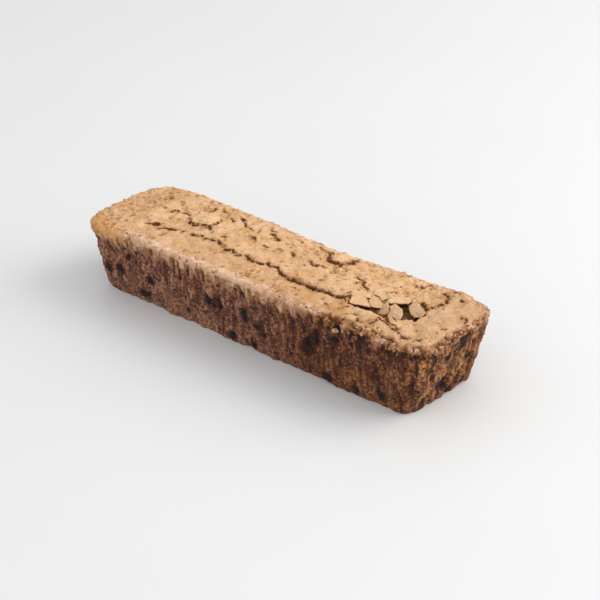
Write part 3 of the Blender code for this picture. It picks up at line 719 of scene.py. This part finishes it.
def build_loaf(raisins):
    """The loaf with its rough skin, inside the solid's box, with what its materials need to know."""
    points, faces, crown_count, foot_count = bare_loaf()
    loaf = mesh_piece("loaf", points, faces)
    foot = slice(len(points) - foot_count, None)
    x, y, z = points.T
    out = normals(loaf)
    out[foot, 2] = 0
    on_crown = np.arange(len(points)) < crown_count
    drop = np.where(on_crown, -inset(x, y), RIM_HEIGHT - z)
    topmost = ease(3.5, -2.5, drop)
    rise, crown_gap, tint = crown_relief(points)
    stand, side_gap = side_relief(points)
    offset = topmost * rise + (1 - topmost) * (0.55 + 0.45 * ease(0, 4, z)) * stand
    gap = np.maximum(topmost * crown_gap, (1 - topmost) * side_gap)
    lumpy, seams = rubble(points, drop)
    offset += lumpy
    gap = np.maximum(gap, seams)
    sunk, pit = pit_depth(points)
    offset = offset * (1 - pit)
    away = seat_raisins(points + 0.5 * shaken(points, 2.4, 86), raisins)
    seat, edge = ease(1.0, 0.75, away), ease(1.6, 1.1, away) * ease(0.75, 1.0, away)
    offset = offset * (1 - seat) * (1 - 0.5 * edge) - 1.3 * seat + 0.1 * edge
    moved = points + out * offset[:, None]
    moved[:, 2] -= np.where(on_crown, sunk, 0)
    moved = inside_box(moved, LOAF_MARGIN)
    moved[foot, 2] = 0
    move_points(loaf, moved)

    # Painted shade in the pit and round the raisins' seats, joined with the gaps.
    gap = np.maximum(np.maximum(gap, 0.3 * pit), np.maximum(0.9 * seat, 0.45 * edge))
    crust, rim = crust_reach(points, drop)
    # stand also sets the painted shade in the dips.
    store(loaf, crust=crust * (1 - 0.5 * pit), rim=rim, gap=gap, stand=offset, tint=tint * (1 - pit))
    return loaf, moved, out


def crust_reach(points, drop):
    """How far the crust covers each point, in streaks below the rim, and the rim's share, 1 just under it."""
    x, y = points[:, 0], points[:, 1]
    streaks = 6.0 * grain(points * (1, 1, 0.08), 2.8, 90) + 3.2 * grain(points * (1, 1, 0.1), 6.5, 93)
    streaks += 1.4 * grain(points, 1.9, 91)
    reach = 2.2 + (1.4 + 3.8 * ease(0, -25, y)) * ease(80, -30, x)
    start = -9.5 + 3.0 * ease(30, 100, x)
    rim = np.clip((drop - start + 2.0 * grain(points, 6, 92)) / (1.0 - start), 0, 2)
    return ease(4.6, -4.2, drop + streaks - reach), rim


def flake_points(number, middle, thickness, leans, corners):
    """One broken flake's points, ring by ring, and how much crust is on each."""
    closed = np.array(corners + corners[:1], float)
    length = np.append(0, np.cumsum(np.linalg.norm(np.diff(closed, axis=0), axis=1)))
    walk = np.linspace(0, length[-1], FLAKE_SECTORS, endpoint=False)
    edge = np.column_stack([np.interp(walk, length, closed[:, k]) for k in range(2)])
    slab = [np.column_stack((edge * FLAKE_SPREAD * scale, np.full(FLAKE_SECTORS, -thickness * depth)))
            for scale, depth, _ in FLAKE_LEVELS]
    slab, level = np.concatenate(slab), np.repeat(FLAKE_LEVELS, FLAKE_SECTORS, axis=0)
    own = slab + 60.0 * (number + 1)
    rough = 0.55 * grain(own, 2.4, 70) + 0.35 * grain(own, 1.2, 71)
    outward = slab * (1, 1, 0) / np.maximum(np.linalg.norm(slab[:, :2], axis=1), 0.1)[:, None]
    slab = slab + outward * (rough * level[:, 0] ** 3)[:, None]
    slab[:, 2] += 0.35 * grain(own * (1, 1, 0), 5.0, 72) + 0.2 * grain(own * (1, 1, 0), 1.8, 73)
    turn = np.array(Euler((radians(leans[0]), radians(leans[1]), 0)).to_matrix())
    return slab @ turn.T + middle, level[:, 2]


def build_flakes():
    """The broken flakes, as one piece: slabs with crust on top, and torn crumb with painted shade at their
    edges.
    """
    slabs, covers = zip(*(flake_points(number, *flake) for number, flake in enumerate(FLAKES)))
    faces = []
    for number, slab in enumerate(slabs):
        rows = number * len(slab) + np.arange(len(slab)).reshape(-1, FLAKE_SECTORS)
        across = np.roll(rows, -1, 1)
        faces += np.stack((rows[:-1], rows[1:], across[1:], across[:-1]), -1).reshape(-1, 4).tolist()
        faces += [rows[0].tolist(), rows[-1, ::-1].tolist()]
    flakes = mesh_piece("flakes", np.concatenate(slabs), faces)
    cover = np.concatenate(covers)
    tint = 0.4 + 0.35 * cover
    # Painted shade on the flakes' torn edges and undersides.
    store(flakes, crust=cover, rim=0 * cover, gap=0.75 * (1 - cover), stand=0.3 * cover, tint=tint)
    return flakes


def build_crumbs(moved, out):
    """Loose crumbs stuck to the loaf, as one piece: uneven bits at random places on its skin."""
    draw = np.random.default_rng(CRUMB_SEED)
    x, y, z = moved.T
    wanted = 0.25 + 1.6 * ease(-105, -135, x) * ease(30, 44, z)
    wanted = wanted + 0.8 * ease(40, 47, z) * ease(9, 2, inset(x, y))
    wanted += 1.2 * ease(1.2, 0.9, oval(x, y, (95, -9), 30, 18, 0)) * (z > 40)
    wanted *= z > 1.2
    chosen = draw.choice(len(moved), CRUMB_COUNT, replace=False, p=wanted / wanted.sum())
    shell = bmesh.new()
    bmesh.ops.create_icosphere(shell, subdivisions=2, radius=1)
    ball = np.array([vertex.co for vertex in shell.verts])
    triangles = np.array([[vertex.index for vertex in face.verts] for face in shell.faces])
    shell.free()
    points, faces, high_up, outer = [], [], [], []
    for number, place in enumerate(chosen):
        size = (0.35 + 0.75 * draw.uniform() ** 2) * draw.uniform(0.65, 1.35, 3)
        turn = np.array(Euler(draw.uniform(0, 6.28, 3)).to_matrix())
        seat = moved[place] + out[place] * 0.1 * size.mean()
        if number < len(LARGE_CRUMBS):
            seat, size = np.array(LARGE_CRUMBS[number])
            turn = np.eye(3)
        bit = ball * (1 + 0.35 * grain(ball * 3 + 9.0 * number, 1.6, 95))[:, None] * size @ turn.T
        points.append(inside_box(bit + seat, CRUMB_MARGIN))
        faces.append(triangles + number * len(ball))
        high_up.append(np.full(len(ball), float(seat[2] > CRUMB_LINE or number < len(LARGE_CRUMBS))))
        outer.append(np.full(len(ball), float(inset(seat[0], seat[1]) < 2.5)))
    crumbs = mesh_piece("crumbs", np.concatenate(points), np.concatenate(faces).tolist())
    crust = np.concatenate(high_up)
    tint = np.repeat(draw.uniform(0, 0.5, CRUMB_COUNT), len(ball))
    rim = crust * (0.1 + 0.9 * np.concatenate(outer))
    store(crumbs, crust=crust, rim=rim, gap=0 * crust, stand=0.3 + 0 * crust, tint=tint)
    return crumbs


def build_raisin(name):
    """A wrinkled raisin over its solid: the solid's own mesh, made finer and creased."""
    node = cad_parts[name]
    shell = bmesh.new()
    shell.from_mesh(node.data)
    shell.transform(node.matrix_world)
    bmesh.ops.remove_doubles(shell, verts=shell.verts, dist=1e-6)
    for _ in range(3):
        bmesh.ops.subdivide_edges(shell, edges=shell.edges, cuts=1, use_grid_fill=True, smooth=1.0)
    points = np.array([vertex.co for vertex in shell.verts]) / MM
    faces = [[vertex.index for vertex in face.verts] for face in shell.faces]
    shell.free()
    middle = (points.max(0) + points.min(0)) / 2
    raisin = mesh_piece(name.replace("raisin", "dried_grape"), points, faces)
    out = normals(raisin)
    crease = np.abs(grain(points + middle, 2.6, 80))
    dent = 0.75 * ease(0.30, 0.0, crease) + 0.25 * ease(0.3, 0, np.abs(grain(points, 1.3, 81)))
    points = points - out * dent[:, None]
    move_points(raisin, points)
    # The crease depth is kept for the painted shade in the creases.
    store(raisin, gap=np.clip(dent, 0, 1))
    return raisin


def add_node(beside, kind, sockets=(), **settings):
    """A node in the tree of another node or socket, with its settings, and its sockets set or linked."""
    made = beside.id_data.nodes.new(kind)
    for name, value in settings.items():
        setattr(made, name, value)
    for name, value in dict(sockets).items():
        if isinstance(value, bpy.types.NodeSocket):
            link(value, made, name)
        else:
            made.inputs[name].default_value = value
    return made


def link(value, node, name):
    """Feed a value into one of a node's sockets."""
    value.id_data.links.new(value, node.inputs[name])


def blend_colours(share, low, high):
    """Mix two colours by a share."""
    low, high = ((*colour, 1) if isinstance(colour, tuple) else colour for colour in (low, high))
    return add_node(share, "ShaderNodeMix", {0: share, 6: low, 7: high}, data_type="RGBA").outputs[2]


def span(value, low, high, to_low=0.0, to_high=1.0):
    """Map a value's range onto another, smoothly and clamped."""
    sockets = {"Value": value, "From Min": low, "From Max": high, "To Min": to_low, "To Max": to_high}
    return add_node(value, "ShaderNodeMapRange", sockets, interpolation_type="SMOOTHSTEP").outputs[0]


def layer(below, above, value, low, high, share=1.0, where=None):
    """Lay one colour over another, up to a share, as a value goes from low to high."""
    amount = span(value, low, high, 0.0, share)
    return blend_colours(amount if where is None else times(amount, where), below, above)


def layers(colour, *rows):
    """Lay colours over one another: each row has a colour, a value, its low and high, a share, and where."""
    for row in rows:
        colour = layer(colour, *row)
    return colour


def noise(place, scale, detail=3.0, roughness=0.55):
    """Noise with features of one over its scale, in metres."""
    sockets = {"Vector": place, "Scale": scale, "Detail": detail, "Roughness": roughness}
    return add_node(place, "ShaderNodeTexNoise", sockets).outputs[0]


def spots(place, scale, feature="F1"):
    """Distance to the nearest of scattered spots, or to the edge between two."""
    sockets = {"Vector": place, "Scale": scale}
    return add_node(place, "ShaderNodeTexVoronoi", sockets, feature=feature).outputs[0]


def stretched(place, share):
    """Places with their height cut to a share, so that noise read there is drawn out into upright streaks."""
    return add_node(place, "ShaderNodeMapping", {"Vector": place, "Scale": (1, 1, share)}).outputs[0]


def new_material(name):
    """A material with its shader and its place in the object's own space."""
    material = bpy.data.materials.new(name)
    material.use_nodes = True
    shader = material.node_tree.nodes["Principled BSDF"]
    return material, shader, add_node(shader, "ShaderNodeTexCoord").outputs["Object"]


def attribute(beside, name):
    """One of the numbers kept on the mesh."""
    return add_node(beside, "ShaderNodeAttribute", attribute_name=name).outputs["Fac"]


def times(first, second):
    """Two values multiplied."""
    return add_node(first, "ShaderNodeMath", {0: first, 1: second}, operation="MULTIPLY").outputs[0]


def times_plus(first, second, third):
    """Two values multiplied, and a third added."""
    sockets = {0: first, 1: second, 2: third}
    return add_node(first, "ShaderNodeMath", sockets, operation="MULTIPLY_ADD").outputs[0]


def bumps(height, strength, distance, below=None):
    """Bumps of a height, in metres, on the surface or on other bumps."""
    sockets = {"Height": height, "Strength": strength, "Distance": distance}
    if below is not None:
        sockets["Normal"] = below
    return add_node(height, "ShaderNodeBump", sockets).outputs[0]


# Colours, in shares of light from 0 to 1. The crown's crust:
CRUST_TAN, CRUST_PALE, CRUST_GOLD = (0.735, 0.42, 0.19), (0.88, 0.585, 0.325), (0.66, 0.36, 0.16)
CRUST_AMBER, CRUST_PINK, END_TAN = (0.59, 0.30, 0.108), (0.80, 0.49, 0.32), (0.56, 0.33, 0.18)
# The last colour on the next line is painted shade, laid in the crust's deep cracks, gaps and pores.
CRUST_BROWN, CRUST_FISSURE, CRUST_GAP_SHADE = (0.36, 0.15, 0.046), (0.40, 0.18, 0.06), (0.145, 0.050, 0.014)

# The rim, and the streaks and the shade below it.
RIM_TAN, RIM_PINK, RIM_BROWN = (0.69, 0.42, 0.25), (0.83, 0.54, 0.385), (0.43, 0.205, 0.098)
RIM_CREAM, RIM_ROSE, END_GOLD = (0.84, 0.65, 0.47), (0.74, 0.48, 0.36), (0.74, 0.385, 0.14)
# The second colour on the next line is painted shade, partly the crumb's own brown, between the streaks below
# the rim.
RIM_LOW, RIM_STREAK_SHADE = (0.36, 0.185, 0.11), (0.20, 0.085, 0.04)
RIM_UNDER, RIM_SHADE = (0.39, 0.19, 0.10), (0.37, 0.165, 0.074)

# The crumb of the sides, that of the +X half, and what is mixed in.
# The dip colours on these two lines are painted shade, laid in the crumb's dips and dark streaks.
CRUMB_RIDGE, CRUMB_DIP_SHADE, CRUMB_LIGHT = (0.41, 0.157, 0.078), (0.108, 0.036, 0.022), (0.52, 0.265, 0.158)
WARM_RIDGE, WARM_DIP_SHADE, WARM_LIGHT = (0.25, 0.082, 0.030), (0.064, 0.018, 0.0075), (0.39, 0.165, 0.070)
# The middle colour on the next line is painted shade for the crumb's deep gaps, hollows and pores.
CRUMB_ORANGE, CRUMB_GAP_SHADE, END_RIDGE = (0.42, 0.17, 0.05), (0.036, 0.013, 0.008), (0.64, 0.28, 0.092)
# The -X half's crumb colours are paler and greyer than the +X half's, partly own tone and partly painted
# bounce light.
CRUMB_WINE, CRUMB_GREY = (0.23, 0.068, 0.052), (0.31, 0.175, 0.125)

# The last raisin colour is painted shade for the creases.
RAISIN_DARK, RAISIN_LIGHT, RAISIN_CREASE_SHADE = (0.012, 0.007, 0.007), (0.036, 0.016, 0.014), (0.016, 0.008, 0.006)
FLOOR_DARK, FLOOR_LIGHT, FLOOR_HALF = (0.68, 0.675, 0.655), (0.73, 0.72, 0.70), 4000.0

# Where along X the warm crumb and the right end's own crumb start and are full, in metres.
WARM_START, END_START = (-0.01, 0.06), (0.133, 0.144)


def fissures(place):
    """Short fine fissures: the edges between scattered cells, 1 in their middle."""
    sway = add_node(place, "ShaderNodeTexNoise", {"Vector": place, "Scale": 260}).outputs["Color"]
    sockets = {0: sway, 1: (0.005,) * 3, 2: place}
    bent = add_node(place, "ShaderNodeVectorMath", sockets, operation="MULTIPLY_ADD").outputs[0]
    return span(spots(bent, 150, "DISTANCE_TO_EDGE"), 0.06, 0.0)


def crown_colour(place, along, tint, patch):
    """The crown: gold at the left to amber at the right, tan and paler on its flakes, pink in patches."""
    return layers(
        CRUST_GOLD,
        (CRUST_AMBER, along, 0.0, 0.04),
        (CRUST_TAN, tint, 0.0, 0.4),
        (CRUST_PALE, noise(place, 60), 0.40, 0.62, 0.5),
        (CRUST_GOLD, patch, 0.48, 0.68, 0.5),
        (CRUST_PALE, tint, 0.45, 0.95, 0.6),
        (END_TAN, along, 0.105, 0.13, 0.7),
        (CRUST_PINK, noise(place, 100), 0.50, 0.64, 0.5),
    )


def rim_colour(place, along, rim, patch):
    """The rim: pale pink and cream to the left, rosy brown to the right, streaked with brown and painted
    shade below.
    """
    brown = layer(RIM_BROWN, RIM_ROSE, patch, 0.56, 0.44, 0.9)
    edge = layer(RIM_TAN, brown, along, 0.0, 0.06)
    column = noise(stretched(place, 0.08), 290, 1.0)
    return layers(
        RIM_PINK,
        (brown, along, 0.0, 0.07),
        (edge, rim, 0.35, 0.85),
        (RIM_CREAM, noise(place, 170, 1.0), 0.5, 0.62, 0.55, span(along, 0.05, -0.02)),
        (RIM_LOW, times_plus(column, 2.0, rim), 1.95, 2.8),
        # Painted shade in the dark streaks between the drips under the rim, partly the crumb's own brown.
        (RIM_STREAK_SHADE, column, 0.50, 0.60, 0.85, span(rim, 0.85, 1.1)),
        (END_GOLD, along, -0.098, -0.118),
    )


def crust_colour(place, along, across, stand, tint, rim):
    """Crown and rim: brown and pale specks, fissures, and painted shade, dark in the rim's pores and brown in
    the dips.
    """
    patch, sand = noise(place, 130, 4.0), noise(place, 950, 3.0, 0.65)
    mottle, fine = noise(place, 300), noise(place, 480, 4.0, 0.6)
    far = times(span(across, 0.0, 0.03), span(along, 0.10, 0.06))
    near = times(span(rim, 0.0, 0.12), span(far, 0, 1, 1.0, 0.3))
    wavy = times_plus(noise(place, 110), 1.2, rim)
    busy = span(noise(place, 45), 0.42, 0.6, 0.4, 1.1)
    busy = times(span(tint, 0.4, 0.9, 1.0, 0.35), busy)
    on_rim = times(span(rim, 0.1, 0.3), span(rim, 0.8, 0.6))
    on_rim = times(on_rim, span(noise(place, 90), 0.5, 0.56))
    return layers(
        crown_colour(place, along, tint, patch),
        (rim_colour(place, along, rim, patch), wavy, 0.62, 0.98, 0.95, near),
        (CRUST_BROWN, mottle, 0.51, 0.68, 0.22, busy),
        (CRUST_PALE, mottle, 0.46, 0.34, 0.3),
        (CRUST_BROWN, fine, 0.53, 0.66, 0.38, busy),
        (CRUST_BROWN, sand, 0.50, 0.66, 0.40, busy),
        (CRUST_PALE, sand, 0.45, 0.32, 0.45, busy),
        (CRUST_FISSURE, noise(place, 85), 0.52, 0.60, 1.0, times(busy, fissures(place))),
        # Painted shade in the rim's pores.
        (CRUST_GAP_SHADE, spots(place, 260), 0.28, 0.12, 1.0, on_rim),
        # Brown painted shade in the dips, where the crust stands in.
        (CRUST_BROWN, stand, 0.0, -1.1, 0.75),
    )


def crumb_colour(place, along, height, stand):
    """Moist brown crumb with painted shade in its dips, warmer towards the +X end, with orange carrot in it.
    """
    pairs = (CRUMB_RIDGE, WARM_RIDGE), (CRUMB_DIP_SHADE, WARM_DIP_SHADE), (CRUMB_LIGHT, WARM_LIGHT)
    # Towards -X the crumb is paler and greyer, partly its own tone and partly painted bounce light.
    ridge, dip, light = (layer(left, right, along, *WARM_START) for left, right in pairs)
    hue, fine = noise(place, 75, 2.0), noise(place, 620, 3.0, 0.65)
    ridge = layers(
        ridge,
        (END_RIDGE, along, *END_START),
        (CRUMB_WINE, hue, 0.44, 0.34, 0.6),
        (CRUMB_GREY, hue, 0.54, 0.64, 0.6, span(along, 0.05, -0.02)),
    )
    light = layer(light, END_RIDGE, along, *END_START, 0.25)
    streaked = stretched(place, 0.2)
    streak = noise(streaked, 260, 3.0)
    # Painted shade fills the dips, where the crumb stands in, and the dark streaks and specks.
    return layers(
        dip,
        (ridge, stand, -1.0, 0.6),
        (dip, noise(streaked, 120, 2.0), 0.52, 0.40, 0.45),
        (dip, streak, 0.54, 0.42, 0.75),
        (light, streak, 0.53, 0.64, 0.65),
        (light, height, 0.022, 0.0, 0.35),
        (dip, fine, 0.52, 0.38, 0.9, span(along, *END_START, 1.0, 0.7)),
        (light, fine, 0.53, 0.68, 0.85),
        (CRUMB_ORANGE, noise(place, 150, 2.0), 0.60, 0.68, 0.35, span(along, -0.12, 0.14, 0.4, 1.0)),
    )


def cake_material():
    """Baked crust above, pale at the rim, moist brown crumb down the sides and in the cracks, and painted
    shade in the gaps.
    """
    material, shader, place = new_material("baked_cake")
    names = ("crust", "gap", "stand", "tint", "rim")
    crust, gap, stand, tint, rim = (attribute(place, name) for name in names)
    along, across, height = add_node(place, "ShaderNodeSeparateXYZ", {"Vector": place}).outputs
    streaked = times_plus(noise(stretched(place, 0.15), 520, 3.0, 0.6), 1.0, crust)
    crust = span(streaked, 0.8, 1.2)
    # The gap colour is painted shade, near black in the crumb and dark brown in the crust.
    dark = blend_colours(crust, CRUMB_GAP_SHADE, CRUST_GAP_SHADE)
    colour = layers(
        crumb_colour(place, along, height, stand),
        (layer(RIM_UNDER, RIM_SHADE, along, 0.0, 0.06), streaked, 0.62, 1.0),
        (crust_colour(place, along, across, stand, tint, rim), streaked, 0.95, 1.45),
        # Painted shade by the gap number: brown at first, then near black where deepest.
        (blend_colours(crust, dark, CRUST_BROWN), gap, 0.03, 0.6, 0.8),
        (dark, times_plus(noise(place, 750, 3.0), 1.8, gap), 1.25, 1.6),
    )
    link(colour, shader, "Base Color")
    link(span(noise(place, 150, 3.0), 0.3, 0.7, 0.68, 0.92), shader, "Roughness")
    shader.inputs["Specular IOR Level"].default_value = 0.25
    grit, sand = noise(place, 700, 5.0, 0.7), noise(place, 1900, 3.0, 0.6)
    link(bumps(sand, 0.7, 0.0004, bumps(grit, 0.9, 0.0011)), shader, "Normal")
    return material


def raisin_material():
    """Dark purple skin, glossier in patches, with painted shade in the creases."""
    material, shader, place = new_material("raisin_skin")
    patch = noise(place, 300)
    skin = layer(RAISIN_DARK, RAISIN_LIGHT, patch, 0.4, 0.65)
    # Painted shade in the creases, by how deep each is.
    link(blend_colours(times(attribute(place, "gap"), 0.7), skin, RAISIN_CREASE_SHADE), shader, "Base Color")
    link(span(patch, 0.3, 0.7, 0.45, 0.7), shader, "Roughness")
    shader.inputs["Specular IOR Level"].default_value = 0.18
    link(bumps(noise(place, 900), 0.4, 0.0003), shader, "Normal")
    return material


def build_floor():
    """A plain pale floor under the cake."""
    corners = np.array(((-1, -1, 0), (1, -1, 0), (1, 1, 0), (-1, 1, 0)))
    floor = mesh_piece("floor", corners * FLOOR_HALF, [(0, 1, 2, 3)])
    material, shader, place = new_material("pale_floor")
    link(blend_colours(noise(place, 3.0), FLOOR_DARK, FLOOR_LIGHT), shader, "Base Color")
    shader.inputs["Roughness"].default_value = 0.55
    floor.data.materials.append(material)


def add_light(name, place, aim, size, power, colour):
    """A square soft light aimed at a point."""
    lamp = bpy.data.lights.new(name, "AREA")
    lamp.size, lamp.energy, lamp.color = size, power, colour
    item = put(name, lamp)
    item.location = place
    item.rotation_euler = (Vector(aim) - Vector(place)).to_track_quat("-Z", "Y").to_euler()


def light_and_camera():
    """A big soft window above and behind the cake, a weak fill, a pale surround, and the camera."""
    for light in LIGHTS:
        add_light(*light)
    world = bpy.data.worlds.new("studio")
    world.use_nodes = True
    surround = world.node_tree.nodes["Background"]
    surround.inputs["Color"].default_value = SURROUND_COLOUR
    surround.inputs["Strength"].default_value = SURROUND_STRENGTH
    bpy.context.scene.world = world
    camera = put("camera", bpy.data.cameras.new("camera"))
    camera.data.lens, camera.data.sensor_width = CAMERA_LENS, CAMERA_SENSOR
    camera.location = CAMERA_PLACE
    camera.rotation_euler = (radians(CAMERA_TILT), 0, radians(CAMERA_TURN))
    bpy.context.scene.camera = camera
    bpy.context.scene.view_settings.view_transform = "Standard"


def dress_cake():
    """Every piece of the cake in place of its solid."""
    baked, skin = cake_material(), raisin_material()
    names = sorted(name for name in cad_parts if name.startswith("raisin"))
    raisins = [tuple(np.array(corner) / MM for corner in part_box(name)) for name in names]
    loaf, moved, out = build_loaf(raisins)
    for piece in (loaf, build_flakes(), build_crumbs(moved, out)):
        piece.data.materials.append(baked)
        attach(piece, "root")
    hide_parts("cake")
    for name in names:
        raisin = build_raisin(name)
        raisin.data.materials.append(skin)
        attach(raisin, "root")
        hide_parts(name)


light_and_camera()
build_floor()
dress_cake()
